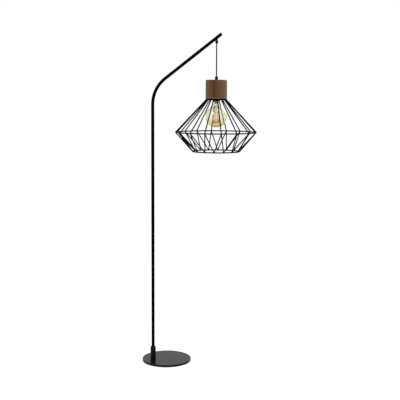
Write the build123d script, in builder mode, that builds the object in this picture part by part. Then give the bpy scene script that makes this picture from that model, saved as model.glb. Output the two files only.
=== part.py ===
from build123d import *
import os
from math import atan2, cos, pi, radians, sin, sqrt, tan

# Floor lamp with a pendant wire cage, in millimetres. The origin is the centre of the
# base's underside, +Z is up, and the arm reaches over the base towards +X.

# ---------------------------------------------------------------- driving dimensions
# Base
base_diameter = 245.0
base_thickness = 10.0
base_edge_round = 1.0
felt_diameter = 233.0
felt_thickness = 1.5
pole_offset = 70.0            # base centre to pole axis, away from the arm's reach

# Bolt that holds the socket down
bolt_diameter = 10.0
bolt_head_diameter = 17.0
bolt_head_height = 3.0
bolt_reach = 16.0             # how far the bolt enters the socket
bolt_key_width = 5.0
bolt_key_depth = 1.8
washer_diameter = 20.0
washer_thickness = 1.5
head_clearance = 0.3          # free space round and under the bolt's head

# Socket at the foot of the pole
socket_diameter = 27.0
socket_height = 64.5
socket_plug_height = 24.0     # solid foot below the pole
socket_top_round = 2.0
set_screw_diameter = 5.0
set_screw_height = 50.0       # above the base
set_screw_key_width = 2.5
set_screw_key_depth = 2.0

# Cord inlet in the socket's far side
inlet_height = 38.0           # above the base
inlet_bore = 6.0
inlet_wall = 1.5
inlet_flange_diameter = 13.0
inlet_flange_thickness = 1.2

# Pole and arm
tube_diameter = 16.0
tube_wall = 1.2
lower_seam_height = 480.0
upper_seam_height = 900.0
arm_corner_height = 1374.0    # where the straight runs' centre lines would cross
arm_angle = 38.0              # above level
arm_overhang = 31.0           # along the arm, from the pendant's axis to the end of the end cap
bend_radius = 160.0
seam_chamfer = 0.3
coupler_length = 60.0
coupler_bore = 8.0
end_cap_length = 7.0
end_cap_spigot = 12.0
end_cap_round = 1.0

# Pendant cable and its two grips
pendant_reach = 321.0         # pole axis to pendant axis
cable_diameter = 6.0
cable_drop = 160.5            # bare cable between the grips
upper_neck = 5.6              # bare nipple between the arm and the upper grip
upper_grip_diameter = 14.2
upper_grip_length = 13.0
upper_nipple_diameter = 10.0
upper_nipple_seat = 6.0
lower_grip_diameter = 15.4
lower_grip_length = 17.0
lower_nipple_diameter = 10.0
lower_nipple_seat = 9.0
nipple_wall = 1.4
grip_round = 4.4              # length of the rounding at a grip's mouth
grip_edge_round = 1.2         # at its other end
grip_bore_clearance = 0.15    # round the cable
mouth_depth = 2.8
mouth_lip = 0.4               # flat rim round the mouth
mouth_angle = 30.0            # widest lean of the cable in a grip's mouth
pivot_setback = 0.6           # from the mouth's narrow end to the point the cable bends at
grip_screw_diameter = 3.0
grip_screw_sink = 0.4
running_clearance = 0.05      # round a part that turns in another

# Wooden cap
cap_diameter = 107.0
cap_height = 92.5
cap_edge_round = 6.0
cap_foot_chamfer = 1.0
cavity_diameter = 46.0
cavity_depth = 77.0
cap_washer_diameter = 24.0
cap_washer_thickness = 1.5
cap_nut_width = 15.0
cap_nut_height = 5.0

# Lampholder, for a 27 mm screw lamp
holder_diameter = 37.8
holder_drop = 12.5            # skirt showing below the cap
skirt_height = 40.0
skirt_wall = 2.6
skirt_lip = 1.2
holder_cover_height = 20.0
holder_cover_wall = 2.2
holder_collar_diameter = 16.0
holder_collar_height = 8.0
core_height = 9.0
core_flange = 2.4             # how far the core's edge is held between skirt and cover
lamp_thread_diameter = 26.4
shell_wall = 0.5
shell_height = 20.0
contact_thickness = 0.8
contact_width = 6.0
contact_length = 16.0

# Lamp
globe_diameter = 108.0
glass_wall = 1.0
neck_diameter = 27.0
neck_blend = 15.0
lamp_length = 159.0           # contact tip to the bottom of the globe
lamp_cap_length = 27.0
lamp_cap_wall = 0.5
tip_diameter = 9.0
tip_height = 2.5
tip_round = 2.0
lamp_insulator_height = 2.5
stem_top_diameter = 24.4
stem_waist_diameter = 15.0
stem_length = 42.0
stem_flare = 16.0
filament_count = 13
filament_diameter = 4.0
filament_end_radius = 12.0    # round which each filament's two ends stand
filament_bow_radius = 18.0    # round which its middle stands
filament_top_drop = 54.0      # below the neck's top edge
filament_height = 55.0
filament_wire_diameter = 0.8

# Cage
ring_wire_diameter = 6.2
rib_wire_diameter = 6.0
brace_wire_diameter = 5.4
cage_sides = 16
cage_turn = -7.0              # degrees from +X to the first rib
cage_top_radius = 50.5
cage_waist_radius = 203.5
cage_bottom_radius = 119.0
cage_upper_height = 162.5     # top ring to waist
cage_lower_height = 95.5      # waist to bottom ring
plate_thickness = 2.0
plate_diameter = 105.0
plate_hole_diameter = 50.0
plate_screw_count = 3
plate_screw_circle = 80.0
plate_screw_diameter = 3.5
plate_screw_head_diameter = 7.0
plate_screw_head_height = 2.2
plate_screw_head_round = 1.8
plate_screw_length = 18.0

# ---------------------------------------------------------------- places worked out from them
base_top = felt_thickness + base_thickness
pole_x = -pole_offset
socket_floor = base_top + socket_plug_height
tube_radius = tube_diameter / 2
tube_bore_radius = tube_radius - tube_wall
socket_bore_radius = tube_radius + running_clearance

pendant_x = pole_x + pendant_reach
slope = radians(arm_angle)
arm_middle_height = arm_corner_height + pendant_reach * tan(slope)
arm_underside = arm_middle_height - tube_radius / cos(slope)

upper_grip_top = arm_underside - upper_neck
upper_mouth = upper_grip_top - upper_grip_length
lower_mouth = upper_mouth - cable_drop
cap_top = lower_mouth - lower_grip_length
cap_bottom = cap_top - cap_height
pivot_depth = mouth_depth - pivot_setback
upper_pivot = upper_mouth + pivot_depth
lower_pivot = lower_mouth - pivot_depth
cable_radius = cable_diameter / 2
grip_bore_radius = cable_radius + grip_bore_clearance
mouth_radius = grip_bore_radius + mouth_depth * tan(radians(mouth_angle))

cavity_top = cap_bottom + cavity_depth
holder_bottom = cap_bottom - holder_drop
skirt_top = holder_bottom + skirt_height
holder_cover_top = skirt_top + holder_cover_height
lamp_tip = holder_bottom + lamp_cap_length + skirt_lip + running_clearance
lamp_cap_bottom = lamp_tip - lamp_cap_length
core_bottom = lamp_tip + contact_thickness + running_clearance
globe_centre = lamp_tip - lamp_length + globe_diameter / 2

ring_wire_radius = ring_wire_diameter / 2
rib_wire_radius = rib_wire_diameter / 2
brace_wire_radius = brace_wire_diameter / 2
plate_bottom = cap_bottom - plate_thickness
top_ring_height = plate_bottom - ring_wire_radius
waist_height = top_ring_height - cage_upper_height
bottom_ring_height = waist_height - cage_lower_height
side_step = 360.0 / cage_sides

pendant_axis = Axis((pendant_x, 0, 0), (0, 0, 1))
pendant_profile = Plane((pendant_x, 0, 0), x_dir=(1, 0, 0), z_dir=(0, -1, 0))


# ---------------------------------------------------------------- helpers
def pole_level(height):
    """Level plane on the pole's axis."""
    return Plane((pole_x, 0, height))


def pendant_level(height):
    """Level plane on the pendant's axis."""
    return Plane((pendant_x, 0, height))


def disc(plane, diameter, height, mode=Mode.ADD):
    """A round disc or a round cut that rises from a plane."""
    with BuildSketch(plane) as face:
        Circle(diameter / 2)
    extrude(face.sketch, amount=height, mode=mode)


def ring(plane, outer_diameter, inner_diameter, height):
    """A round tube that rises from a plane."""
    with BuildSketch(plane) as face:
        Circle(outer_diameter / 2)
        Circle(inner_diameter / 2, mode=Mode.SUBTRACT)
    extrude(face.sketch, amount=height)


def hexagon(plane, width, height, mode=Mode.ADD):
    """A hexagon of a width over its flats that rises from a plane."""
    with BuildSketch(plane) as face:
        RegularPolygon(width / 2, 6, major_radius=False)
    extrude(face.sketch, amount=height, mode=mode)


def rod(start, end, radius):
    """A straight round rod between two points."""
    run = Vector(end) - Vector(start)
    with BuildSketch(Plane(start, z_dir=run)) as face:
        Circle(radius)
    extrude(face.sketch, amount=run.length)


def bowed_rod(start, middle, end, radius):
    """A round rod bent to an arc through three points."""
    with BuildLine() as route:
        bend = ThreePointArc(start, middle, end)
    with BuildSketch(Plane(start, z_dir=bend % 0)) as face:
        Circle(radius)
    sweep(face.sketch, path=route.wire())


def turned(points):
    """A piece turned about the pendant's axis from an outline of radius and height."""
    with BuildSketch(pendant_profile) as face:
        with BuildLine():
            Polyline(*points, close=True)
        make_face()
    revolve(face.sketch, axis=pendant_axis)


def cage_point(radius, height, turn):
    """A point of the cage, its turn counted in degrees from +X."""
    angle = radians(turn)
    return Vector(pendant_x + radius * cos(angle), radius * sin(angle), height)


def cage_polygon(radius, height, first_turn):
    """A closed wire ring of straight sides, mitred at its corners."""
    corners = [cage_point(radius, height, first_turn + side_step * side) for side in range(cage_sides)]
    middle = (corners[-1] + corners[0]) / 2
    with BuildLine() as route:
        Polyline(middle, *corners, close=True)
    with BuildSketch(Plane(middle, z_dir=corners[0] - middle)) as face:
        Circle(ring_wire_radius)
    sweep(face.sketch, path=route.wire(), transition=Transition.RIGHT)


os.makedirs("parts", exist_ok=True)

# ---------------------------------------------------------------- base
with BuildPart() as base_plate:
    disc(Plane.XY.offset(felt_thickness), base_diameter, base_thickness)
    fillet(base_plate.edges().group_by(Axis.Z)[-1], base_edge_round)
    disc(pole_level(felt_thickness), bolt_diameter, base_thickness, Mode.SUBTRACT)
    disc(pole_level(felt_thickness), washer_diameter + 2 * head_clearance,
         head_clearance + bolt_head_height + washer_thickness, Mode.SUBTRACT)
base_plate.part.label = "base_plate"
export_step(base_plate.part, "parts/base_plate.step")

with BuildPart() as base_felt:
    disc(Plane.XY, felt_diameter, felt_thickness)
base_felt.part.label = "base_felt"
export_step(base_felt.part, "parts/base_felt.step")

bolt_head_bottom = felt_thickness + head_clearance
washer_bottom = bolt_head_bottom + bolt_head_height

with BuildPart() as base_washer:
    ring(pole_level(washer_bottom), washer_diameter, bolt_diameter, washer_thickness)
base_washer.part.label = "base_washer"
export_step(base_washer.part, "parts/base_washer.step")

with BuildPart() as base_bolt:
    disc(pole_level(bolt_head_bottom), bolt_head_diameter, bolt_head_height)
    disc(pole_level(washer_bottom), bolt_diameter, base_top + bolt_reach - washer_bottom)
    hexagon(pole_level(bolt_head_bottom), bolt_key_width, bolt_key_depth, Mode.SUBTRACT)
base_bolt.part.label = "base_bolt"
export_step(base_bolt.part, "parts/base_bolt.step")

# ---------------------------------------------------------------- pole socket
inlet_plane = Plane((pole_x, 0, base_top + inlet_height), x_dir=(1, 0, 0), z_dir=(0, 1, 0))
set_screw_plane = Plane((pole_x, 0, base_top + set_screw_height), x_dir=(0, 1, 0), z_dir=(-1, 0, 0))
inlet_hole = inlet_bore + 2 * inlet_wall

with BuildPart() as pole_socket:
    disc(pole_level(base_top), socket_diameter, socket_height)
    fillet(pole_socket.edges().group_by(Axis.Z)[-1], socket_top_round)
    disc(pole_level(socket_floor), 2 * socket_bore_radius, socket_height, Mode.SUBTRACT)
    disc(pole_level(base_top), bolt_diameter, bolt_reach, Mode.SUBTRACT)
    disc(inlet_plane, inlet_hole, socket_diameter, Mode.SUBTRACT)
    disc(set_screw_plane, set_screw_diameter, socket_diameter, Mode.SUBTRACT)
pole_socket.part.label = "pole_socket"
export_step(pole_socket.part, "parts/pole_socket.step")

with BuildPart() as socket_set_screw:
    disc(set_screw_plane.offset(tube_radius), set_screw_diameter, socket_diameter / 2 - tube_radius)
    hexagon(set_screw_plane.offset(socket_diameter / 2 - set_screw_key_depth), set_screw_key_width,
            set_screw_key_depth, Mode.SUBTRACT)
    with BuildSketch(pole_level(base_top)):
        Circle(socket_diameter / 2)
    extrude(amount=socket_height, mode=Mode.INTERSECT)
socket_set_screw.part.label = "socket_set_screw"
export_step(socket_set_screw.part, "parts/socket_set_screw.step")

with BuildPart() as cord_inlet_grommet:
    disc(inlet_plane, inlet_flange_diameter, socket_diameter / 2 + inlet_flange_thickness)
    disc(pole_level(base_top), socket_diameter, socket_height, Mode.SUBTRACT)
    disc(inlet_plane.offset(tube_bore_radius), inlet_hole, socket_diameter / 2 - tube_bore_radius)
    disc(inlet_plane, inlet_bore, socket_diameter, Mode.SUBTRACT)
cord_inlet_grommet.part.label = "cord_inlet_grommet"
export_step(cord_inlet_grommet.part, "parts/cord_inlet_grommet.step")


# ---------------------------------------------------------------- pole sections
def pole_section(bottom, top):
    """A straight length of tube with its outer edges broken."""
    ring(pole_level(bottom), tube_diameter, 2 * tube_bore_radius, top - bottom)


with BuildPart() as pole_lower:
    pole_section(socket_floor, lower_seam_height)
    chamfer(pole_lower.edges().group_by(Axis.Z)[-1].sort_by(SortBy.LENGTH)[-1], seam_chamfer)
    disc(inlet_plane, inlet_hole, socket_diameter, Mode.SUBTRACT)
pole_lower.part.label = "pole_lower"
export_step(pole_lower.part, "parts/pole_lower.step")

with BuildPart() as pole_middle:
    pole_section(lower_seam_height, upper_seam_height)
    chamfer(pole_middle.edges().group_by(Axis.Z)[-1].sort_by(SortBy.LENGTH)[-1], seam_chamfer)
    chamfer(pole_middle.edges().group_by(Axis.Z)[0].sort_by(SortBy.LENGTH)[-1], seam_chamfer)
pole_middle.part.label = "pole_middle"
export_step(pole_middle.part, "parts/pole_middle.step")

with BuildPart() as lower_coupler:
    ring(pole_level(lower_seam_height - coupler_length / 2), 2 * tube_bore_radius, coupler_bore,
         coupler_length)
lower_coupler.part.label = "lower_coupler"
export_step(lower_coupler.part, "parts/lower_coupler.step")

with BuildPart() as upper_coupler:
    ring(pole_level(upper_seam_height - coupler_length / 2), 2 * tube_bore_radius, coupler_bore,
         coupler_length)
upper_coupler.part.label = "upper_coupler"
export_step(upper_coupler.part, "parts/upper_coupler.step")

# ---------------------------------------------------------------- arm
arm_tube_length = pendant_reach / cos(slope) + arm_overhang - end_cap_length
arm_tube_end = Vector(pole_x + arm_tube_length * cos(slope), 0,
                      arm_corner_height + arm_tube_length * sin(slope))
arm_end_plane = Plane(arm_tube_end, x_dir=(0, 1, 0), z_dir=(cos(slope), 0, sin(slope)))
nipple_top = arm_middle_height - tube_radius / 2

with BuildPart() as arm_tube:
    with BuildLine(Plane.XZ):
        FilletPolyline((pole_x, upper_seam_height), (pole_x, arm_corner_height),
                       (arm_tube_end.X, arm_tube_end.Z), radius=bend_radius)
    with BuildSketch(pole_level(upper_seam_height)):
        Circle(tube_radius)
        Circle(tube_bore_radius, mode=Mode.SUBTRACT)
    sweep()
    chamfer(arm_tube.edges().group_by(Axis.Z)[0].sort_by(SortBy.LENGTH)[-1], seam_chamfer)
    disc(pendant_level(upper_grip_top), upper_nipple_diameter, nipple_top - upper_grip_top, Mode.SUBTRACT)
arm_tube.part.label = "arm_tube"
export_step(arm_tube.part, "parts/arm_tube.step")

with BuildPart() as arm_end_cap:
    disc(arm_end_plane, tube_diameter, end_cap_length)
    fillet(arm_end_cap.edges().group_by(Axis.X)[-1], end_cap_round)
    disc(arm_end_plane.offset(-end_cap_spigot), 2 * tube_bore_radius, end_cap_spigot)
arm_end_cap.part.label = "arm_end_cap"
export_step(arm_end_cap.part, "parts/arm_end_cap.step")

# ---------------------------------------------------------------- upper grip and cable
upper_seat_bottom = upper_grip_top - upper_nipple_seat

with BuildPart() as arm_nipple:
    ring(pendant_level(upper_seat_bottom), upper_nipple_diameter, upper_nipple_diameter - 2 * nipple_wall,
         nipple_top - upper_seat_bottom)
arm_nipple.part.label = "arm_nipple"
export_step(arm_nipple.part, "parts/arm_nipple.step")


def grip_body(mouth, into, diameter, length, seat_diameter, seat_depth):
    """A turned cord grip. Its mouth is at a height, and into is 1 where its body lies above."""
    radius = diameter / 2
    shallow = grip_edge_round * (1 - cos(radians(45)))
    with BuildSketch(pendant_profile) as face:
        with BuildLine():
            Polyline((mouth_radius + mouth_lip, mouth), (mouth_radius, mouth),
                     (grip_bore_radius, mouth + into * mouth_depth),
                     (grip_bore_radius, mouth + into * (length - seat_depth)),
                     (seat_diameter / 2, mouth + into * (length - seat_depth)),
                     (seat_diameter / 2, mouth + into * length),
                     (radius - grip_edge_round, mouth + into * length))
            ThreePointArc((radius - grip_edge_round, mouth + into * length),
                          (radius - shallow, mouth + into * (length - shallow)),
                          (radius, mouth + into * (length - grip_edge_round)))
            Line((radius, mouth + into * (length - grip_edge_round)), (radius, mouth + into * grip_round))
            TangentArc((radius, mouth + into * grip_round), (mouth_radius + mouth_lip, mouth),
                       tangent=(0, -into))
        make_face()
    revolve(face.sketch, axis=pendant_axis)


def grip_screw_plane(mouth, into, length, seat_depth):
    """The plane of a grip's screw, which presses on the cable half way along its bore."""
    height = mouth + into * (mouth_depth + length - seat_depth) / 2
    return Plane((pendant_x, 0, height), x_dir=(1, 0, 0), z_dir=(0, 1, 0))


upper_screw_plane = grip_screw_plane(upper_mouth, 1, upper_grip_length, upper_nipple_seat)
lower_screw_plane = grip_screw_plane(lower_mouth, -1, lower_grip_length, lower_nipple_seat)
upper_screw_length = upper_grip_diameter / 2 - grip_bore_radius - grip_screw_sink
lower_screw_length = lower_grip_diameter / 2 - grip_bore_radius - grip_screw_sink

with BuildPart() as upper_cord_grip:
    grip_body(upper_mouth, 1, upper_grip_diameter, upper_grip_length, upper_nipple_diameter,
              upper_nipple_seat)
    disc(upper_screw_plane, grip_screw_diameter, upper_grip_diameter, Mode.SUBTRACT)
upper_cord_grip.part.label = "upper_cord_grip"
export_step(upper_cord_grip.part, "parts/upper_cord_grip.step")

with BuildPart() as upper_grip_screw:
    disc(upper_screw_plane.offset(grip_bore_radius), grip_screw_diameter, upper_screw_length)
upper_grip_screw.part.label = "upper_grip_screw"
export_step(upper_grip_screw.part, "parts/upper_grip_screw.step")

# The taut cable bends at the centre of each round end.
with BuildPart() as pendant_cable:
    with BuildSketch(pendant_profile):
        with BuildLine():
            CenterArc((0, upper_pivot), cable_radius, 0, 90)
            Line((0, upper_pivot + cable_radius), (0, lower_pivot - cable_radius))
            CenterArc((0, lower_pivot), cable_radius, 270, 90)
            Line((cable_radius, lower_pivot), (cable_radius, upper_pivot))
        make_face()
    revolve(axis=pendant_axis)
pendant_cable.part.label = "pendant_cable"
export_step(pendant_cable.part, "parts/pendant_cable.step")

# ---------------------------------------------------------------- lower grip
with BuildPart() as lower_cord_grip:
    grip_body(lower_mouth, -1, lower_grip_diameter, lower_grip_length,
              lower_nipple_diameter + 2 * running_clearance, lower_nipple_seat)
    disc(lower_screw_plane, grip_screw_diameter, lower_grip_diameter, Mode.SUBTRACT)
lower_cord_grip.part.label = "lower_cord_grip"
export_step(lower_cord_grip.part, "parts/lower_cord_grip.step")

with BuildPart() as lower_grip_screw:
    disc(lower_screw_plane.offset(grip_bore_radius), grip_screw_diameter, lower_screw_length)
lower_grip_screw.part.label = "lower_grip_screw"
export_step(lower_grip_screw.part, "parts/lower_grip_screw.step")

# ---------------------------------------------------------------- wooden cap and its fixings
shade_nipple_top = cap_top + lower_nipple_seat - head_clearance
shade_nipple_bottom = holder_cover_top - holder_collar_height
nipple_bore = lower_nipple_diameter - 2 * nipple_wall
cap_nut_top = cavity_top - cap_washer_thickness

with BuildPart() as wood_cap:
    disc(pendant_level(cap_bottom), cap_diameter, cap_height)
    fillet(wood_cap.edges().group_by(Axis.Z)[-1], cap_edge_round)
    chamfer(wood_cap.edges().group_by(Axis.Z)[0], cap_foot_chamfer)
    disc(pendant_level(cap_bottom), cavity_diameter, cavity_depth, Mode.SUBTRACT)
    disc(pendant_level(cap_bottom), lower_nipple_diameter, cap_height, Mode.SUBTRACT)
    with BuildSketch(pendant_level(cap_bottom)):
        with PolarLocations(plate_screw_circle / 2, plate_screw_count):
            Circle(plate_screw_diameter / 2)
    extrude(amount=plate_screw_length - plate_thickness, mode=Mode.SUBTRACT)
wood_cap.part.label = "wood_cap"
export_step(wood_cap.part, "parts/wood_cap.step")

with BuildPart() as shade_nipple:
    ring(pendant_level(shade_nipple_bottom), lower_nipple_diameter, nipple_bore,
         shade_nipple_top - shade_nipple_bottom)
shade_nipple.part.label = "shade_nipple"
export_step(shade_nipple.part, "parts/shade_nipple.step")

with BuildPart() as cap_washer:
    ring(pendant_level(cap_nut_top), cap_washer_diameter, lower_nipple_diameter, cap_washer_thickness)
cap_washer.part.label = "cap_washer"
export_step(cap_washer.part, "parts/cap_washer.step")

with BuildPart() as cap_nut:
    hexagon(pendant_level(cap_nut_top - cap_nut_height), cap_nut_width, cap_nut_height)
    disc(pendant_level(cap_nut_top - cap_nut_height), lower_nipple_diameter, cap_nut_height, Mode.SUBTRACT)
cap_nut.part.label = "cap_nut"
export_step(cap_nut.part, "parts/cap_nut.step")

# ---------------------------------------------------------------- lampholder
holder_radius = holder_diameter / 2
skirt_bore_radius = holder_radius - skirt_wall
shell_outer_radius = lamp_thread_diameter / 2 + running_clearance + shell_wall
core_radius = skirt_bore_radius + core_flange / 2
core_top = core_bottom + core_height
shell_bottom = core_bottom - shell_height
collar_radius = holder_collar_diameter / 2
cover_shoulder = holder_cover_top - holder_collar_height

with BuildPart() as lampholder_skirt:
    turned([(skirt_bore_radius, core_bottom), (skirt_bore_radius, holder_bottom + skirt_lip),
            (shell_outer_radius + running_clearance, holder_bottom + skirt_lip),
            (shell_outer_radius + running_clearance, holder_bottom), (holder_radius, holder_bottom),
            (holder_radius, skirt_top), (core_radius, skirt_top), (core_radius, core_bottom)])
lampholder_skirt.part.label = "lampholder_skirt"
export_step(lampholder_skirt.part, "parts/lampholder_skirt.step")

with BuildPart() as lampholder_core:
    disc(pendant_level(core_bottom), 2 * core_radius, core_height)
    ring(pendant_level(shell_bottom), 2 * skirt_bore_radius, 2 * shell_outer_radius, shell_height)
lampholder_core.part.label = "lampholder_core"
export_step(lampholder_core.part, "parts/lampholder_core.step")

with BuildPart() as lampholder_screw_shell:
    ring(pendant_level(shell_bottom), 2 * shell_outer_radius, 2 * (shell_outer_radius - shell_wall),
         shell_height)
lampholder_screw_shell.part.label = "lampholder_screw_shell"
export_step(lampholder_screw_shell.part, "parts/lampholder_screw_shell.step")

with BuildPart() as lampholder_contact:
    with BuildSketch(pendant_level(core_bottom - contact_thickness)):
        Rectangle(contact_length, contact_width)
    extrude(amount=contact_thickness)
lampholder_contact.part.label = "lampholder_contact"
export_step(lampholder_contact.part, "parts/lampholder_contact.step")

with BuildPart() as lampholder_cover:
    cover_inside = cover_shoulder - holder_cover_wall
    turned([(holder_radius, skirt_top), (holder_radius, cover_inside), (collar_radius, cover_shoulder),
            (collar_radius, holder_cover_top), (lower_nipple_diameter / 2, holder_cover_top),
            (lower_nipple_diameter / 2, shade_nipple_bottom), (nipple_bore / 2, shade_nipple_bottom),
            (nipple_bore / 2, cover_inside), (collar_radius, cover_inside),
            (holder_radius - holder_cover_wall, cover_inside - holder_cover_wall),
            (holder_radius - holder_cover_wall, skirt_top)])
lampholder_cover.part.label = "lampholder_cover"
export_step(lampholder_cover.part, "parts/lampholder_cover.step")

# The end of the cable inside the nipple, down to the lampholder's core.
with BuildPart() as holder_flex:
    flex_top = lower_pivot - cable_radius - head_clearance
    disc(pendant_level(core_top), cable_diameter, flex_top - core_top)
holder_flex.part.label = "holder_flex"
export_step(holder_flex.part, "parts/holder_flex.step")

# ---------------------------------------------------------------- cage
with BuildPart() as cage_mount_plate:
    ring(pendant_level(plate_bottom), plate_diameter, plate_hole_diameter, plate_thickness)
    with BuildSketch(pendant_level(plate_bottom)):
        with PolarLocations(plate_screw_circle / 2, plate_screw_count):
            Circle(plate_screw_diameter / 2)
    extrude(amount=plate_thickness, mode=Mode.SUBTRACT)
cage_mount_plate.part.label = "cage_mount_plate"
export_step(cage_mount_plate.part, "parts/cage_mount_plate.step")

with BuildPart() as cage_plate_screws:
    with BuildSketch(pendant_level(plate_bottom)):
        with PolarLocations(plate_screw_circle / 2, plate_screw_count):
            Circle(plate_screw_diameter / 2)
    extrude(amount=plate_screw_length)
    with BuildSketch(pendant_level(plate_bottom)):
        with PolarLocations(plate_screw_circle / 2, plate_screw_count):
            Circle(plate_screw_head_diameter / 2)
    extrude(amount=-plate_screw_head_height)
    fillet(cage_plate_screws.edges().group_by(Axis.Z)[0], plate_screw_head_round)
cage_plate_screws.part.label = "cage_plate_screws"
export_step(cage_plate_screws.part, "parts/cage_plate_screws.step")

with BuildPart() as cage_top_ring:
    with Locations((pendant_x, 0, top_ring_height)):
        Torus(cage_top_radius, ring_wire_radius)
cage_top_ring.part.label = "cage_top_ring"
export_step(cage_top_ring.part, "parts/cage_top_ring.step")

with BuildPart() as cage_waist_ring:
    cage_polygon(cage_waist_radius, waist_height, cage_turn)
cage_waist_ring.part.label = "cage_waist_ring"
export_step(cage_waist_ring.part, "parts/cage_waist_ring.step")

with BuildPart() as cage_bottom_ring:
    cage_polygon(cage_bottom_radius, bottom_ring_height, cage_turn + side_step / 2)
cage_bottom_ring.part.label = "cage_bottom_ring"
export_step(cage_bottom_ring.part, "parts/cage_bottom_ring.step")


def braces(lean):
    """One brace from each waist corner to the bottom corner half a side before or after it."""
    for side in range(cage_sides):
        turn = cage_turn + side_step * side
        rod(cage_point(cage_waist_radius, waist_height, turn),
            cage_point(cage_bottom_radius, bottom_ring_height, turn + lean * side_step / 2), brace_wire_radius)
    add(cage_waist_ring.part, mode=Mode.SUBTRACT)
    add(cage_bottom_ring.part, mode=Mode.SUBTRACT)


with BuildPart() as cage_right_braces:
    braces(1)
cage_right_braces.part.label = "cage_right_braces"
export_step(cage_right_braces.part, "parts/cage_right_braces.step")

with BuildPart() as cage_left_braces:
    braces(-1)
    add(cage_right_braces.part, mode=Mode.SUBTRACT)
cage_left_braces.part.label = "cage_left_braces"
export_step(cage_left_braces.part, "parts/cage_left_braces.step")

with BuildPart() as cage_ribs:
    for side in range(cage_sides):
        turn = cage_turn + side_step * side
        rod(cage_point(cage_top_radius, top_ring_height, turn),
            cage_point(cage_waist_radius, waist_height, turn), rib_wire_radius)
    add(cage_top_ring.part, mode=Mode.SUBTRACT)
    add(cage_waist_ring.part, mode=Mode.SUBTRACT)
    add(cage_right_braces.part, mode=Mode.SUBTRACT)
    add(cage_left_braces.part, mode=Mode.SUBTRACT)
cage_ribs.part.label = "cage_ribs"
export_step(cage_ribs.part, "parts/cage_ribs.step")

# ---------------------------------------------------------------- lamp
neck_radius = neck_diameter / 2
globe_radius = globe_diameter / 2
lamp_cap_radius = lamp_thread_diameter / 2


def globe_solid(radius, neck, blend, mode=Mode.ADD):
    """A globe whose neck flows into it through a blend arc, filled solid."""
    blend_height = globe_centre + sqrt((radius + blend) ** 2 - (neck + blend) ** 2)
    join = atan2(blend_height - globe_centre, neck + blend)
    low, middle = -radians(90), (join - radians(90)) / 2
    half_blend = (radians(180) + radians(180) + join) / 2

    def on_globe(angle):
        return radius * cos(angle), globe_centre + radius * sin(angle)

    def on_blend(angle):
        return neck + blend + blend * cos(angle), blend_height + blend * sin(angle)

    with BuildSketch(pendant_profile) as face:
        with BuildLine():
            ThreePointArc(on_globe(low), on_globe(middle), on_globe(join))
            ThreePointArc(on_globe(join), on_blend(half_blend), (neck, blend_height))
            Polyline((neck, blend_height), (neck, lamp_cap_bottom), (0, lamp_cap_bottom), on_globe(low))
        make_face()
    revolve(face.sketch, axis=pendant_axis, mode=mode)


with BuildPart() as bulb_glass:
    globe_solid(globe_radius, neck_radius, neck_blend)
    globe_solid(globe_radius - glass_wall, neck_radius - glass_wall, neck_blend + glass_wall, Mode.SUBTRACT)
bulb_glass.part.label = "bulb_glass"
export_step(bulb_glass.part, "parts/bulb_glass.step")

lamp_shell_top = lamp_tip - tip_height - lamp_insulator_height
with BuildPart() as bulb_screw_cap:
    ring(pendant_level(lamp_cap_bottom), lamp_thread_diameter, lamp_thread_diameter - 2 * lamp_cap_wall,
         lamp_shell_top - lamp_cap_bottom)
bulb_screw_cap.part.label = "bulb_screw_cap"
export_step(bulb_screw_cap.part, "parts/bulb_screw_cap.step")

with BuildPart() as bulb_cap_insulator:
    turned([(0, lamp_shell_top), (lamp_cap_radius, lamp_shell_top),
            (tip_diameter / 2 + lamp_cap_wall, lamp_shell_top + lamp_insulator_height),
            (0, lamp_shell_top + lamp_insulator_height)])
bulb_cap_insulator.part.label = "bulb_cap_insulator"
export_step(bulb_cap_insulator.part, "parts/bulb_cap_insulator.step")

with BuildPart() as bulb_contact:
    disc(pendant_level(lamp_tip - tip_height), tip_diameter, tip_height)
    fillet(bulb_contact.edges().group_by(Axis.Z)[-1], tip_round)
bulb_contact.part.label = "bulb_contact"
export_step(bulb_contact.part, "parts/bulb_contact.step")

stem_bottom = lamp_cap_bottom - stem_length
with BuildPart() as bulb_stem:
    turned([(0, lamp_cap_bottom), (stem_top_diameter / 2, lamp_cap_bottom),
            (stem_waist_diameter / 2, lamp_cap_bottom - stem_flare), (stem_waist_diameter / 2, stem_bottom),
            (0, stem_bottom)])
bulb_stem.part.label = "bulb_stem"
export_step(bulb_stem.part, "parts/bulb_stem.step")

filament_top = lamp_cap_bottom - filament_top_drop
filament_bottom = filament_top - filament_height
filament_turns = [360.0 / filament_count * stick for stick in range(filament_count)]

with BuildPart() as bulb_filaments:
    for turn in filament_turns:
        bowed_rod(cage_point(filament_end_radius, filament_top, turn),
                  cage_point(filament_bow_radius, (filament_top + filament_bottom) / 2, turn),
                  cage_point(filament_end_radius, filament_bottom, turn), filament_diameter / 2)
bulb_filaments.part.label = "bulb_filaments"
export_step(bulb_filaments.part, "parts/bulb_filaments.step")

# A post with spokes that reach the middle of each filament's two ends.
with BuildPart() as bulb_filament_frame:
    rod((pendant_x, 0, stem_bottom), (pendant_x, 0, filament_bottom), filament_wire_diameter / 2)
    for turn in filament_turns:
        rod((pendant_x, 0, stem_bottom), cage_point(filament_end_radius, filament_top, turn),
            filament_wire_diameter / 2)
        rod((pendant_x, 0, filament_bottom), cage_point(filament_end_radius, filament_bottom, turn),
            filament_wire_diameter / 2)
    with Locations((pendant_x, 0, filament_bottom)):
        Sphere(filament_wire_diameter)
    add(bulb_filaments.part, mode=Mode.SUBTRACT)
    add(bulb_stem.part, mode=Mode.SUBTRACT)
bulb_filament_frame.part.label = "bulb_filament_frame"
export_step(bulb_filament_frame.part, "parts/bulb_filament_frame.step")

print("cable between its bending points: %.1f mm" % (upper_pivot - lower_pivot))
print("cable volume over section times length: %.4f" % (
    pendant_cable.part.volume
    / (pi * cable_radius ** 2 * (upper_pivot - lower_pivot + 4 / 3 * cable_radius))))
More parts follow.
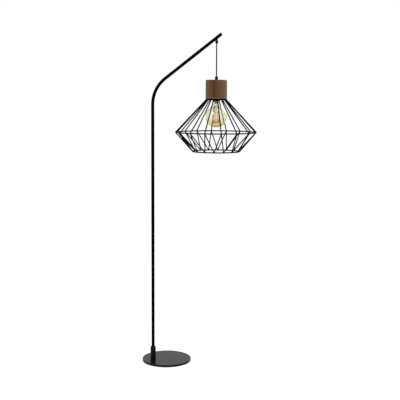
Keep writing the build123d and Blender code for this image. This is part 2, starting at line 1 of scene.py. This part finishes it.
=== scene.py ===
import math

import bmesh
import bpy
from mathutils import Matrix, Vector


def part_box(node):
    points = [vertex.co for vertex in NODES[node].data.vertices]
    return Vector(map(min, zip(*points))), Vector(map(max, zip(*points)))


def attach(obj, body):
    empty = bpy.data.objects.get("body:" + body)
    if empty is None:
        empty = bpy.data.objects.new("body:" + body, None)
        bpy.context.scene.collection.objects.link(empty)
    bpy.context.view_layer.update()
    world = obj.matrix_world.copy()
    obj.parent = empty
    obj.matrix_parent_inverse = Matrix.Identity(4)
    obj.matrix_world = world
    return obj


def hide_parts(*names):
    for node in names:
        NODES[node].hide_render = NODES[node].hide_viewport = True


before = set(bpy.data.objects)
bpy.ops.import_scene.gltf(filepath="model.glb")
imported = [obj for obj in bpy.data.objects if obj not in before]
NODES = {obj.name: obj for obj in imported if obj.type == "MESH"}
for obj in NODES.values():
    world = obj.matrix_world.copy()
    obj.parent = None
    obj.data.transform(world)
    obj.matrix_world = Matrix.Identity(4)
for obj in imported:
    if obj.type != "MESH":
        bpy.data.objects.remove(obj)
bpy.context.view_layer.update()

# Floor lamp with a pendant wire cage, dressed around its CAD frame. Lengths are in metres.


def low(node):
    """Lowest corner of a CAD node."""
    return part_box(node)[0]


def high(node):
    """Highest corner of a CAD node."""
    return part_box(node)[1]


def middle(node):
    """Centre of a CAD node's box."""
    return (low(node) + high(node)) / 2


PENDANT = Vector((middle("wood_cap").x, middle("wood_cap").y, 0))
CABLE_RADIUS = (high("pendant_cable").x - low("pendant_cable").x) / 2
CAP_RADIUS = (high("wood_cap").x - low("wood_cap").x) / 2
WIRE_RADIUS = (high("cage_top_ring").z - low("cage_top_ring").z) / 2
CAGE_SIDES = 16


# ---------------------------------------------------------------- camera
CAMERA_PLACE = (-0.7526, -3.9978, 1.3263)
CAMERA_LENS = 73.9
CAMERA_TURN = math.radians(-13.0)       # to the right of straight ahead
CAMERA_DIP = math.radians(7.05)         # below level
CAMERA_ROLL = math.radians(0.3)


def make_camera():
    data = bpy.data.cameras.new("photo_camera")
    data.lens = CAMERA_LENS
    data.clip_start = 0.05
    camera = bpy.data.objects.new("photo_camera", data)
    aim = (Matrix.Rotation(CAMERA_TURN, 4, "Z") @ Matrix.Rotation(math.radians(90) - CAMERA_DIP, 4, "X")
           @ Matrix.Rotation(CAMERA_ROLL, 4, "Z"))
    camera.matrix_world = Matrix.Translation(CAMERA_PLACE) @ aim
    bpy.context.scene.collection.objects.link(camera)
    bpy.context.scene.camera = camera


make_camera()


# ---------------------------------------------------------------- mesh helpers
def new_object(name, mesh, body, material):
    """Links a finished mesh or curve, gives it its finish and lets it ride on its body."""
    piece = bpy.data.objects.new(name, mesh)
    bpy.context.scene.collection.objects.link(piece)
    mesh.materials.append(material)
    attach(piece, body)
    return piece


def finished_mesh(name, shape, smooth=True):
    """Turns a bmesh into a mesh with outward normals."""
    bmesh.ops.recalc_face_normals(shape, faces=shape.faces)
    mesh = bpy.data.meshes.new(name)
    shape.to_mesh(mesh)
    shape.free()
    if smooth:
        mesh.polygons.foreach_set("use_smooth", [True] * len(mesh.polygons))
    return mesh


def turned_shape(outline, steps, wave):
    """Revolves a closed outline of (radius, height) about the pendant's axis. A wave pushes points out."""
    shape = bmesh.new()
    rings = []
    for step in range(steps):
        angle = 2 * math.pi * step / steps
        ring = []
        for radius, height in outline:
            reach = radius + wave(angle, height)
            ring.append(shape.verts.new((PENDANT.x + reach * math.cos(angle),
                                         PENDANT.y + reach * math.sin(angle), height)))
        rings.append(ring)
    for step in range(steps):
        here, there = rings[step], rings[(step + 1) % steps]
        for index in range(len(outline)):
            after = (index + 1) % len(outline)
            shape.faces.new((here[index], there[index], there[after], here[after]))
    return shape


def around(radius, height, angle):
    """A point at a distance from the pendant's axis."""
    return Vector((PENDANT.x + radius * math.cos(angle), PENDANT.y + radius * math.sin(angle), height))


# ---------------------------------------------------------------- material helpers
def linear(code):
    """A colour written as on screen, as the linear values that a shader takes."""
    levels = [int(code[i:i + 2], 16) / 255 for i in (1, 3, 5)]
    return [v / 12.92 if v <= 0.04045 else ((v + 0.055) / 1.055) ** 2.4 for v in levels] + [1.0]


class Finish:
    """A material with one principled shader, and short ways to add nodes before it."""

    def __init__(self, name, **settings):
        self.material = bpy.data.materials.new(name)
        self.material.use_nodes = True
        self.tree = self.material.node_tree
        self.shader = self.tree.nodes["Principled BSDF"]
        self.place = self.node("ShaderNodeTexCoord").outputs["Object"]
        for socket, value in settings.items():
            self.shader.inputs[socket.replace("_", " ")].default_value = value

    def node(self, kind, inputs=None, **settings):
        made = self.tree.nodes.new(kind)
        for key, value in settings.items():
            setattr(made, key, value)
        for key, value in (inputs or {}).items():
            if isinstance(value, bpy.types.NodeSocket):
                self.tree.links.new(value, made.inputs[key])
            else:
                made.inputs[key].default_value = value
        return made

    def wire(self, output, socket):
        self.tree.links.new(output, self.shader.inputs[socket])

    def stretched(self, scale):
        """The object's own coordinates, scaled along each axis."""
        return self.node("ShaderNodeMapping", {"Vector": self.place, "Scale": scale}).outputs[0]

    def noise(self, scale, detail=2.0, roughness=0.5, place=None, distortion=0.0):
        return self.node("ShaderNodeTexNoise", {
            "Vector": place or self.place, "Scale": scale, "Detail": detail, "Roughness": roughness,
            "Distortion": distortion}).outputs["Fac"]

    def spread(self, value, low_in, high_in, low_out, high_out):
        return self.node("ShaderNodeMapRange", {"Value": value, "From Min": low_in, "From Max": high_in,
                                                "To Min": low_out, "To Max": high_out}).outputs[0]

    def sums(self, operation, first, second):
        return self.node("ShaderNodeMath", {0: first, 1: second}, operation=operation).outputs[0]

    def ramp(self, value, stops):
        made = self.node("ShaderNodeValToRGB", {"Fac": value})
        band = made.color_ramp
        while len(band.elements) < len(stops):
            band.elements.new(0.5)
        for element, (position, colour) in zip(band.elements, stops):
            element.position = position
            element.color = linear(colour)
        return made.outputs["Color"]

    def mix(self, factor, first, second, blend="MIX"):
        made = self.node("ShaderNodeMix", data_type="RGBA", blend_type=blend)
        for socket, value in ((made.inputs[0], factor), (made.inputs[6], first), (made.inputs[7], second)):
            if isinstance(value, bpy.types.NodeSocket):
                self.tree.links.new(value, socket)
            else:
                socket.default_value = value
        return made.outputs[2]

    def bump(self, height, depth, strength=1.0):
        made = self.node("ShaderNodeBump", {"Height": height, "Distance": depth, "Strength": strength})
        self.wire(made.outputs[0], "Normal")


# ---------------------------------------------------------------- materials
def powder_coat(name, dark, light, gloss, sheen_low, sheen_high, peel_depth):
    """Satin black powder coat: a fine orange peel, and a sheen that varies a little."""
    finish = Finish(name, Specular_IOR_Level=gloss)
    cloud = finish.noise(9.0, 3.0)
    speck = finish.noise(2600.0, 1.0)
    finish.wire(finish.ramp(finish.sums("MULTIPLY", cloud, finish.spread(speck, 0.3, 0.75, 0.85, 1.15)),
                            [(0.3, dark), (0.7, light)]), "Base Color")
    finish.wire(finish.spread(cloud, 0.3, 0.7, sheen_low, sheen_high), "Roughness")
    finish.bump(finish.noise(620.0, 2.0, 0.45), peel_depth, 0.5)
    return finish.material


WALNUT_BROWN = "#6a5540"
WALNUT_HEART = "#4a2c10"
WALNUT_PALE = "#8c7054"


def walnut():
    """Oiled walnut in upright layers along X, with dark heartwood between brown and pale wood, and a painted
    highlight along its bottom edge.
    """
    finish = Finish("oiled_walnut", Specular_IOR_Level=0.1)
    from_axis = finish.node("ShaderNodeVectorMath", {0: finish.place, 1: PENDANT}, operation="SUBTRACT")
    across = finish.node("ShaderNodeVectorMath", {0: from_axis.outputs[0], 1: (1 / CAP_RADIUS, 0, 0)},
                         operation="DOT_PRODUCT").outputs["Value"]
    sway = finish.noise(1.0, 2.0, 0.5, finish.stretched((16, 16, 5)))
    layer = finish.sums("ADD", across, finish.spread(sway, 0.25, 0.75, -0.1, 0.1))
    heart = finish.ramp(finish.spread(layer, -1.1, 1.1, 0.0, 1.0), [
        (0.1, WALNUT_BROWN), (0.3, WALNUT_HEART), (0.8, WALNUT_PALE)])
    growth = finish.node("ShaderNodeTexWave", {
        "Vector": finish.node("ShaderNodeCombineXYZ", {0: layer}).outputs[0], "Scale": 2.6, "Distortion": 1.6,
        "Detail": 2.0, "Detail Scale": 1.5}, wave_type="BANDS", wave_profile="SAW").outputs["Fac"]
    fibre = finish.noise(1.0, 4.0, 0.62, finish.stretched((520, 520, 9)), 0.3)
    pore_noise = finish.noise(1.0, 2.0, 0.5, finish.stretched((1500, 1500, 42)))
    pores = finish.spread(pore_noise, 0.64, 0.72, 0.0, 1.0)
    toned = finish.mix(finish.spread(growth, 0.1, 1.0, 0.0, 0.42), heart, linear("#4a3220"), "MULTIPLY")
    streaked = finish.mix(finish.spread(fibre, 0.45, 0.75, 0.0, 0.22), toned, linear("#8c6a48"), "MIX")
    height = finish.node("ShaderNodeSeparateXYZ", {0: finish.place}).outputs[2]
    # Painted highlight: the wood turns paler over its lowest 7 mm. This stands in for light caught by the
    # bottom edge, not for sanded wood.
    foot = finish.spread(height, low("wood_cap").z + 0.007, low("wood_cap").z + 0.003, 0.0, 0.55)
    edge_highlighted = finish.mix(foot, streaked, linear("#86705c"), "MIX")
    pored = finish.mix(finish.sums("MULTIPLY", pores, 0.65), edge_highlighted, linear("#20130b"), "MIX")
    finish.wire(pored, "Base Color")
    finish.wire(finish.spread(fibre, 0.3, 0.7, 0.62, 0.44), "Roughness")
    finish.bump(finish.sums("SUBTRACT", fibre, finish.sums("MULTIPLY", pores, 0.7)), 0.00012, 0.5)
    return finish.material


def moulded_plastic(name, colour, gloss):
    """Moulded plastic with a fine spark-eroded grain."""
    finish = Finish(name, Specular_IOR_Level=0.12)
    grain = finish.noise(3800.0, 2.0)
    finish.wire(finish.mix(finish.spread(grain, 0.3, 0.7, 0.0, 0.5), linear(colour), linear("#141415")),
                "Base Color")
    finish.wire(finish.spread(grain, 0.3, 0.7, gloss - 0.06, gloss + 0.06), "Roughness")
    finish.bump(grain, 0.00002, 0.5)
    return finish.material


def metal(name, colour, tint, roughness, scratch_scale):
    """Bare or plated metal with drawn lines and a clouded tint."""
    finish = Finish(name, Metallic=1.0)
    cloud = finish.noise(90.0, 3.0)
    lines = finish.noise(1.0, 3.0, 0.6, finish.stretched(scratch_scale))
    clouded = finish.mix(finish.spread(cloud, 0.35, 0.65, 0.0, 1.0), linear(colour), linear(tint))
    finish.wire(clouded, "Base Color")
    finish.wire(finish.spread(lines, 0.3, 0.7, roughness - 0.08, roughness + 0.1), "Roughness")
    finish.bump(lines, 0.00002, 0.4)
    return finish.material


def felt():
    finish = Finish("black_felt", Roughness=0.95, Specular_IOR_Level=0.1, Sheen_Weight=0.4)
    fluff = finish.noise(900.0, 5.0, 0.7)
    finish.wire(finish.ramp(fluff, [(0.3, "#0c0c0c"), (0.7, "#2b2a29")]), "Base Color")
    finish.bump(fluff, 0.0004, 0.8)
    return finish.material


def rubber():
    finish = Finish("black_rubber", Specular_IOR_Level=0.25)
    bloom = finish.noise(260.0, 4.0)
    finish.wire(finish.ramp(bloom, [(0.3, "#0d0d0d"), (0.75, "#1f1f1e")]), "Base Color")
    finish.wire(finish.spread(bloom, 0.3, 0.7, 0.66, 0.82), "Roughness")
    finish.bump(bloom, 0.00005, 0.4)
    return finish.material


def cable_sheath():
    """Extruded black sheath: smooth round it, with faint long die lines and slight waves in its sheen."""
    finish = Finish("black_sheath", Specular_IOR_Level=0.06)
    lines = finish.noise(1.0, 2.0, 0.5, finish.stretched((1400, 1400, 3)))
    waves = finish.noise(1.0, 2.0, 0.5, finish.stretched((40, 40, 90)))
    finish.wire(finish.ramp(lines, [(0.3, "#040404"), (0.75, "#0c0c0d")]), "Base Color")
    finish.wire(finish.spread(waves, 0.3, 0.7, 0.38, 0.52), "Roughness")
    finish.bump(lines, 0.00003, 0.4)
    return finish.material


def ceramic():
    finish = Finish("glazed_ceramic", Specular_IOR_Level=0.5, Coat_Weight=0.6, Coat_Roughness=0.08)
    speck = finish.noise(420.0, 4.0, 0.6)
    finish.wire(finish.ramp(speck, [(0.25, "#cfc9bb"), (0.6, "#e9e5da")]), "Base Color")
    finish.wire(finish.spread(speck, 0.3, 0.7, 0.25, 0.4), "Roughness")
    finish.bump(finish.noise(160.0, 2.0), 0.00005, 0.4)
    return finish.material


def globe_glass():
    """Amber tinted glass, golden towards the bottom and yellow green where it is seen edge on."""
    finish = Finish("amber_glass", Transmission_Weight=1.0, IOR=1.46, Specular_IOR_Level=0.5)
    height = finish.node("ShaderNodeSeparateXYZ", {0: finish.place}).outputs[2]
    bottom, top = low("bulb_glass").z, high("bulb_glass").z
    ripple = finish.noise(26.0, 3.0)
    level = finish.spread(height, bottom, top, 0.0, 1.0)
    depth = finish.sums("ADD", level, finish.spread(ripple, 0.3, 0.7, -0.02, 0.02))
    rim = finish.node("ShaderNodeLayerWeight", {"Blend": 0.5}).outputs["Facing"]
    film = finish.ramp(rim, [(0.0, "#ffffff"), (0.22, "#fbfcf2"), (0.47, "#eef0d8"), (0.8, "#e3e6c4")])
    gold = finish.ramp(depth, [(0.0, "#dfcd9c"), (0.09, "#ead9a9"), (0.2, "#f6f0dc"), (0.38, "#fdfdf6"),
                               (0.65, "#fdfdf8"), (0.9, "#f7f9ea")])
    finish.wire(finish.mix(1.0, film, gold, "MULTIPLY"), "Base Color")
    finish.wire(finish.spread(ripple, 0.3, 0.7, 0.005, 0.02), "Roughness")
    finish.bump(ripple, 0.0001, 0.1)
    tint = finish.node("ShaderNodeVolumeAbsorption", {"Color": (0.74, 0.7, 0.16, 1.0), "Density": 30.0})
    output = finish.tree.nodes["Material Output"]
    finish.tree.links.new(tint.outputs[0], output.inputs["Volume"])
    return finish.material


def stem_glass():
    finish = Finish("stem_glass", Transmission_Weight=1.0, IOR=1.5)
    streak = finish.noise(1.0, 3.0, 0.5, finish.stretched((160, 160, 30)))
    finish.wire(finish.ramp(streak, [(0.3, "#f0f4da"), (0.7, "#f8faee")]), "Base Color")
    finish.wire(finish.spread(streak, 0.3, 0.7, 0.04, 0.12), "Roughness")
    finish.bump(streak, 0.0003, 0.4)
    return finish.material


def phosphor():
    """Orange phosphor coat on the lit filaments, hotter along their middle."""
    finish = Finish("orange_phosphor", Roughness=0.6, Emission_Strength=0.2)
    height = finish.node("ShaderNodeSeparateXYZ", {0: finish.place}).outputs[2]
    along = finish.spread(height, low("bulb_filaments").z, high("bulb_filaments").z, 0.0, 1.0)
    grain = finish.noise(1800.0, 3.0)
    hue = finish.ramp(finish.sums("ADD", along, finish.spread(grain, 0.3, 0.7, -0.06, 0.06)), [
        (0.0, "#a8863a"), (0.3, "#cf9440"), (0.6, "#dc9844"), (0.85, "#d8a050"), (1.0, "#b8954c")])
    finish.wire(hue, "Base Color")
    finish.wire(hue, "Emission Color")
    finish.bump(grain, 0.00006, 0.6)
    return finish.material


BLACK_STEEL = powder_coat("satin_black_steel", "#100c0b", "#1a1513", 0.095, 0.2, 0.28, 0.00003)
BLACK_TUBE = powder_coat("satin_black_tube", "#020202", "#060505", 0.02, 0.38, 0.46, 0.000006)
BLACK_WIRE = powder_coat("satin_black_wire", "#010101", "#050505", 0.02, 0.4, 0.5, 0.00001)
WALNUT = walnut()
BLACK_PLASTIC = moulded_plastic("black_plastic", "#080808", 0.45)
BLACK_INSULATOR = moulded_plastic("black_insulator", "#101015", 0.18)
ZINC = metal("zinc_plate", "#b9bcc0", "#cfd0c8", 0.34, (300, 300, 300))
BLACK_OXIDE = metal("black_oxide", "#262627", "#35322f", 0.42, (700, 700, 700))
BRASS = metal("drawn_brass", "#c9a458", "#d8b878", 0.28, (200, 200, 1600))
NICKEL_BRASS = metal("pressed_nickel_brass", "#cbb98a", "#b9a36e", 0.3, (240, 240, 2400))
SOLDER = metal("dull_solder", "#9c9b96", "#b4b2ab", 0.5, (500, 500, 500))
FILAMENT_WIRE = metal("support_wire", "#8a857c", "#a39a8b", 0.32, (2000, 2000, 90))
FELT = felt()
RUBBER = rubber()
SHEATH = cable_sheath()
CERAMIC = ceramic()
GLOBE_GLASS = globe_glass()
STEM_GLASS = stem_glass()
PHOSPHOR = phosphor()

FINISHES = {
    BLACK_STEEL: ["base_plate", "pole_socket"],
    BLACK_TUBE: ["pole_lower", "pole_middle", "arm_tube", "arm_nipple"],
    BLACK_WIRE: ["cage_mount_plate", "cage_top_ring", "cage_ribs", "cage_waist_ring", "cage_right_braces",
                 "cage_left_braces", "cage_bottom_ring"],
    WALNUT: ["wood_cap"],
    BLACK_PLASTIC: ["arm_end_cap", "upper_cord_grip", "lower_cord_grip", "lampholder_cover",
                    "lampholder_skirt"],
    BLACK_INSULATOR: ["bulb_cap_insulator"],
    ZINC: ["base_bolt", "base_washer", "lower_coupler", "upper_coupler", "shade_nipple", "cap_washer",
           "cap_nut"],
    BLACK_OXIDE: ["socket_set_screw", "upper_grip_screw", "lower_grip_screw", "cage_plate_screws"],
    BRASS: ["lampholder_screw_shell", "lampholder_contact"],
    NICKEL_BRASS: ["bulb_screw_cap"],
    SOLDER: ["bulb_contact"],
    FILAMENT_WIRE: ["bulb_filament_frame"],
    FELT: ["base_felt"],
    RUBBER: ["cord_inlet_grommet"],
    SHEATH: ["pendant_cable", "holder_flex"],
    CERAMIC: ["lampholder_core"],
    GLOBE_GLASS: ["bulb_glass"],
    STEM_GLASS: ["bulb_stem"],
    PHOSPHOR: ["bulb_filaments"],
}


def dress_nodes():
    """Gives every CAD node its finish."""
    for material, names in FINISHES.items():
        for name in names:
            mesh = NODES[name].data
            mesh.materials.clear()
            mesh.materials.append(material)


dress_nodes()


# ---------------------------------------------------------------- pendant cable
def make_cable():
    """The taut cable between the two points it bends at, inside its grips."""
    top = high("pendant_cable").z - CABLE_RADIUS
    bottom = low("pendant_cable").z + CABLE_RADIUS
    curve = bpy.data.curves.new("pendant_flex", "CURVE")
    curve.dimensions = "3D"
    curve.bevel_depth = CABLE_RADIUS
    curve.bevel_resolution = 8
    curve.use_fill_caps = True
    spline = curve.splines.new("NURBS")
    heights = (top, (top + bottom) / 2, bottom)
    spline.points.add(len(heights) - 1)
    for point, height in zip(spline.points, heights):
        point.co = (PENDANT.x, PENDANT.y, height, 1)
    spline.order_u = 3
    spline.use_endpoint_u = True
    flex = new_object("pendant_flex", curve, "cable", SHEATH)
    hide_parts("pendant_cable")


make_cable()


# ---------------------------------------------------------------- cage welds
def ring_corner(node):
    """Radius, height and turn of a cage ring's outermost corner, from its own mesh."""
    points = [Vector(v.co) - PENDANT for v in NODES[node].data.vertices]
    outer = max(points, key=lambda p: math.hypot(p.x, p.y))
    reach = math.hypot(outer.x, outer.y) - WIRE_RADIUS / math.cos(math.pi / CAGE_SIDES)
    return reach, middle(node).z, math.atan2(outer.y, outer.x)


BEAD_UNEVENNESS = 0.08
BEAD_FLATNESS = 0.92


def weld_beads(name, radius, height, turn, size):
    """A small uneven bead of weld on each corner of a cage ring."""
    shape = bmesh.new()
    for side in range(CAGE_SIDES):
        centre = around(radius, height, turn + 2 * math.pi * side / CAGE_SIDES)
        made = bmesh.ops.create_icosphere(shape, subdivisions=3, radius=size)
        for vert in made["verts"]:
            lump = (1 + BEAD_UNEVENNESS * math.sin(9 * vert.co.x / size + side)
                    * math.sin(7 * vert.co.z / size + 2 * side))
            vert.co = centre + Vector((vert.co.x * lump, vert.co.y * lump, vert.co.z * lump * BEAD_FLATNESS))
    return new_object(name, finished_mesh(name, shape), "shade", BLACK_WIRE)


waist_radius, waist_height, waist_turn = ring_corner("cage_waist_ring")
bottom_radius, bottom_height, bottom_turn = ring_corner("cage_bottom_ring")
top_ring_radius = (high("cage_top_ring").x - low("cage_top_ring").x) / 2 - WIRE_RADIUS
BEAD_SIZE = WIRE_RADIUS * 1.22
TOP_BEAD_SIZE = BEAD_SIZE * 0.92
BEAD_INSET = WIRE_RADIUS * 0.36       # keeps the beads inside the cage's outline

weld_beads("weld_beads_waist", waist_radius - BEAD_INSET, waist_height, waist_turn, BEAD_SIZE)
weld_beads("weld_beads_bottom", bottom_radius - BEAD_INSET, bottom_height + BEAD_INSET, bottom_turn,
           BEAD_SIZE)
weld_beads("weld_beads_top", top_ring_radius, middle("cage_top_ring").z, waist_turn, TOP_BEAD_SIZE)


# ---------------------------------------------------------------- lamp cap and lampholder trim
THREAD_PITCH = 0.0036
THREAD_DEPTH = 0.0008
CAP_WALL = 0.0004
THREAD_ROWS = 90
THREAD_STEPS = 72


def make_lamp_thread():
    """The lamp's pressed screw shell: a round thread rolled into thin sheet."""
    bottom, top = low("bulb_screw_cap").z, high("bulb_screw_cap").z
    crest = (high("bulb_screw_cap").x - low("bulb_screw_cap").x) / 2
    heights = [bottom + (top - bottom) * row / THREAD_ROWS for row in range(THREAD_ROWS + 1)]
    outside = [(crest - THREAD_DEPTH / 2, height) for height in heights]
    inside = [(radius - CAP_WALL, height) for radius, height in reversed(outside)]

    def thread(angle, height):
        fade = min(1, (height - bottom) / THREAD_PITCH, (top - height) / THREAD_PITCH)
        return THREAD_DEPTH / 2 * fade * math.cos(2 * math.pi * height / THREAD_PITCH - angle)

    shape = turned_shape(outside + inside, THREAD_STEPS, thread)
    shell = new_object("lamp_thread", finished_mesh("lamp_thread", shape), "bulb",
                       NICKEL_BRASS)
    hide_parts("bulb_screw_cap")


make_lamp_thread()

RIB_COUNT = 40
RIB_HEIGHT = 0.012
RIB_WIDTH = 0.0014
RIB_PROUD = 0.0005
RIB_START = 0.0015          # above the skirt's lower edge


def make_holder_ribs():
    """Fine grip ribs moulded round the lampholder's lower end."""
    radius = (high("lampholder_skirt").x - low("lampholder_skirt").x) / 2
    bottom = low("lampholder_skirt").z + RIB_START
    shape = bmesh.new()
    for rib in range(RIB_COUNT):
        angle = 2 * math.pi * rib / RIB_COUNT
        half = RIB_WIDTH / 2 / radius
        rows = [(bottom, 0.0), (bottom + RIB_PROUD * 2, 1.0), (bottom + RIB_HEIGHT - RIB_PROUD * 2, 1.0),
                (bottom + RIB_HEIGHT, 0.0)]
        loops = []
        for height, rise in rows:
            loops.append([shape.verts.new(around(radius + reach, height, angle + turn)) for reach, turn in
                          ((-RIB_PROUD, -half), (RIB_PROUD * rise * 0.6, -half * 0.7), (RIB_PROUD * rise, 0),
                           (RIB_PROUD * rise * 0.6, half * 0.7), (-RIB_PROUD, half))])
        for here, there in zip(loops, loops[1:]):
            for index in range(len(here)):
                after = (index + 1) % len(here)
                shape.faces.new((here[index], here[after], there[after], there[index]))
        shape.faces.new(loops[0])
        shape.faces.new(list(reversed(loops[-1])))
    new_object("lampholder_ribs", finished_mesh("lampholder_ribs", shape), "shade",
               BLACK_PLASTIC)


make_holder_ribs()


# ---------------------------------------------------------------- screws
SCREW_SLOT = 0.16           # half a slot's width over the head's radius
SCREW_SLOT_DEPTH = 0.4      # over the head's radius
CROSS_REACH = 0.62          # over the head's radius
SCREW_ROWS = 28
SCREW_STEPS = 24
PLATE_SCREW_TURNS = (0, 120, 240)
PLATE_SCREW_DOME = 0.6      # over the head's height


def slotted_screw(shape, place, radius, length, rise, slots):
    """A screw along its place's z axis. Its head is domed by a rise, with one open slot or a cross."""
    half_slot = SCREW_SLOT * radius

    def top(u, v):
        level = length - rise * (u * u + v * v) / radius ** 2
        if slots == 1:
            cut = abs(u) < half_slot
        else:
            cut = min(abs(u), abs(v)) < half_slot and math.hypot(u, v) < CROSS_REACH * radius
        return level - SCREW_SLOT_DEPTH * radius if cut else level

    lines = sorted([-radius * math.cos(math.pi * row / SCREW_ROWS) for row in range(1, SCREW_ROWS)]
                   + [side * half_slot * edge for side in (-1, 1) for edge in (0.98, 1.02)])
    grid = []
    for u in lines:
        reach = math.sqrt(radius * radius - u * u)
        row = [(u, reach * (2 * step / SCREW_STEPS - 1)) for step in range(SCREW_STEPS + 1)]
        grid.append([shape.verts.new(place @ Vector((*spot, top(*spot)))) for spot in row])
    for here, there in zip(grid, grid[1:]):
        for index in range(SCREW_STEPS):
            shape.faces.new((here[index], there[index], there[index + 1], here[index + 1]))
    rim = ([row[0] for row in grid] + grid[-1][1:] + [row[-1] for row in reversed(grid[:-1])]
           + list(reversed(grid[0][1:-1])))
    flat = Matrix.Diagonal((1, 1, 0, 1))
    foot = [shape.verts.new(place @ flat @ place.inverted() @ vert.co) for vert in rim]
    for index in range(len(rim)):
        after = (index + 1) % len(rim)
        shape.faces.new((rim[index], rim[after], foot[after], foot[index]))
    shape.faces.new(list(reversed(foot)))


def make_grip_screws():
    """The slotted screw in each grip."""
    for node, body in (("upper_grip_screw", "stand"), ("lower_grip_screw", "grip")):
        near, far = low(node), high(node)
        place = (Matrix.Translation((middle(node).x, near.y, middle(node).z))
                 @ Matrix.Rotation(math.radians(-90), 4, "X"))
        shape = bmesh.new()
        slotted_screw(shape, place, (far.x - near.x) / 2, far.y - near.y, 0.0, 1)
        name = node + "_slotted"
        screw = new_object(name, finished_mesh(name, shape, False), body, BLACK_OXIDE)
        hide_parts(node)


def make_plate_screws():
    """The three cross-slotted screws under the cage's plate, on the circle their CAD node stands on."""
    points = [v.co - PENDANT for v in NODES["cage_plate_screws"].data.vertices]
    first = [p for p in points if abs(math.atan2(p.y, p.x)) < math.radians(30)]
    inner, outer = min(p.x for p in first), max(p.x for p in first)
    shank = [p for p in first if p.z > high("cage_plate_screws").z - 0.001]
    shank_radius = (max(p.x for p in shank) - min(p.x for p in shank)) / 2
    seat, bottom, top = low("cage_mount_plate").z, low("cage_plate_screws").z, high("cage_plate_screws").z
    shape = bmesh.new()
    for turn in PLATE_SCREW_TURNS:
        centre = around((inner + outer) / 2, seat, math.radians(turn))
        place = Matrix.Translation(centre) @ Matrix.Rotation(math.radians(180), 4, "X")
        slotted_screw(shape, place, (outer - inner) / 2, seat - bottom,
                      (seat - bottom) * PLATE_SCREW_DOME, 2)
        half_way = Matrix.Translation(centre + Vector((0, 0, (top - seat) / 2)))
        bmesh.ops.create_cone(shape, cap_ends=True, segments=SCREW_STEPS, radius1=shank_radius,
                              radius2=shank_radius, depth=top - seat, matrix=half_way)
    screws = new_object("plate_screws_crossed", finished_mesh("plate_screws_crossed", shape, False), "shade",
                        BLACK_OXIDE)
    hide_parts("cage_plate_screws")


make_grip_screws()
make_plate_screws()


# ---------------------------------------------------------------- studio
WHITE = (1, 1, 1, 1)
LIGHTING_STRENGTH = 0.75        # of the surroundings, for rays that light surfaces
SEEN_STRENGTH = 1.0             # for rays from the camera, gloss and glass
FLOOR_HALF = 12.0
FLOOR_COLOUR = (0.82, 0.82, 0.82, 1)
FLOOR_GLOW = (0.42, 0.42, 0.42, 1)


def make_world():
    """White surroundings. Lighting rays meet a softer white than the camera, gloss and glass do."""
    world = bpy.data.worlds.new("studio")
    bpy.context.scene.world = world
    world.use_nodes = True
    tree = world.node_tree
    tree.nodes.clear()
    output = tree.nodes.new("ShaderNodeOutputWorld")
    blend = tree.nodes.new("ShaderNodeMixShader")
    light = tree.nodes.new("ShaderNodeBackground")
    light.inputs["Color"].default_value = WHITE
    light.inputs["Strength"].default_value = LIGHTING_STRENGTH
    seen = tree.nodes.new("ShaderNodeBackground")
    seen.inputs["Color"].default_value = WHITE
    seen.inputs["Strength"].default_value = SEEN_STRENGTH
    path = tree.nodes.new("ShaderNodeLightPath")
    total = None
    for name in ("Is Camera Ray", "Is Glossy Ray", "Is Transmission Ray"):
        if total is None:
            total = path.outputs[name]
            continue
        larger = tree.nodes.new("ShaderNodeMath")
        larger.operation = "MAXIMUM"
        tree.links.new(total, larger.inputs[0])
        tree.links.new(path.outputs[name], larger.inputs[1])
        total = larger.outputs[0]
    tree.links.new(total, blend.inputs[0])
    tree.links.new(light.outputs[0], blend.inputs[1])
    tree.links.new(seen.outputs[0], blend.inputs[2])
    tree.links.new(blend.outputs[0], output.inputs["Surface"])


def make_floor():
    """A plain pale floor that keeps the lamp's soft shadow."""
    corners = [(x * FLOOR_HALF, y * FLOOR_HALF, 0) for x, y in ((-1, -1), (1, -1), (1, 1), (-1, 1))]
    mesh = bpy.data.meshes.new("studio_floor")
    mesh.from_pydata(corners, [], [(0, 1, 2, 3)])
    floor = bpy.data.objects.new("studio_floor", mesh)
    bpy.context.scene.collection.objects.link(floor)
    material = bpy.data.materials.new("studio_white")
    material.use_nodes = True
    tree = material.node_tree
    tree.nodes.clear()
    output = tree.nodes.new("ShaderNodeOutputMaterial")
    both = tree.nodes.new("ShaderNodeAddShader")
    matt = tree.nodes.new("ShaderNodeBsdfDiffuse")
    matt.inputs["Color"].default_value = FLOOR_COLOUR
    glow = tree.nodes.new("ShaderNodeEmission")
    path = tree.nodes.new("ShaderNodeLightPath")
    tree.links.new(path.outputs["Is Camera Ray"], glow.inputs["Strength"])
    glow.inputs["Color"].default_value = FLOOR_GLOW
    tree.links.new(matt.outputs[0], both.inputs[0])
    tree.links.new(glow.outputs[0], both.inputs[1])
    tree.links.new(both.outputs[0], output.inputs["Surface"])
    mesh.materials.append(material)


def area_light(name, place, aim, size, watts):
    data = bpy.data.lights.new(name, "AREA")
    data.size = size
    data.energy = watts
    lamp = bpy.data.objects.new(name, data)
    lamp.location = place
    lamp.rotation_euler = (Vector(aim) - Vector(place)).to_track_quat("-Z", "Y").to_euler()
    bpy.context.scene.collection.objects.link(lamp)


make_world()
make_floor()
area_light("key_light", (-2.6, -2.2, 3.4), (0.1, 0, 1.1), 1.8, 60)
area_light("rim_light", (2.4, 2.0, 2.6), (0.1, 0, 1.2), 1.6, 30)
bpy.context.scene.view_settings.view_transform = "Standard"
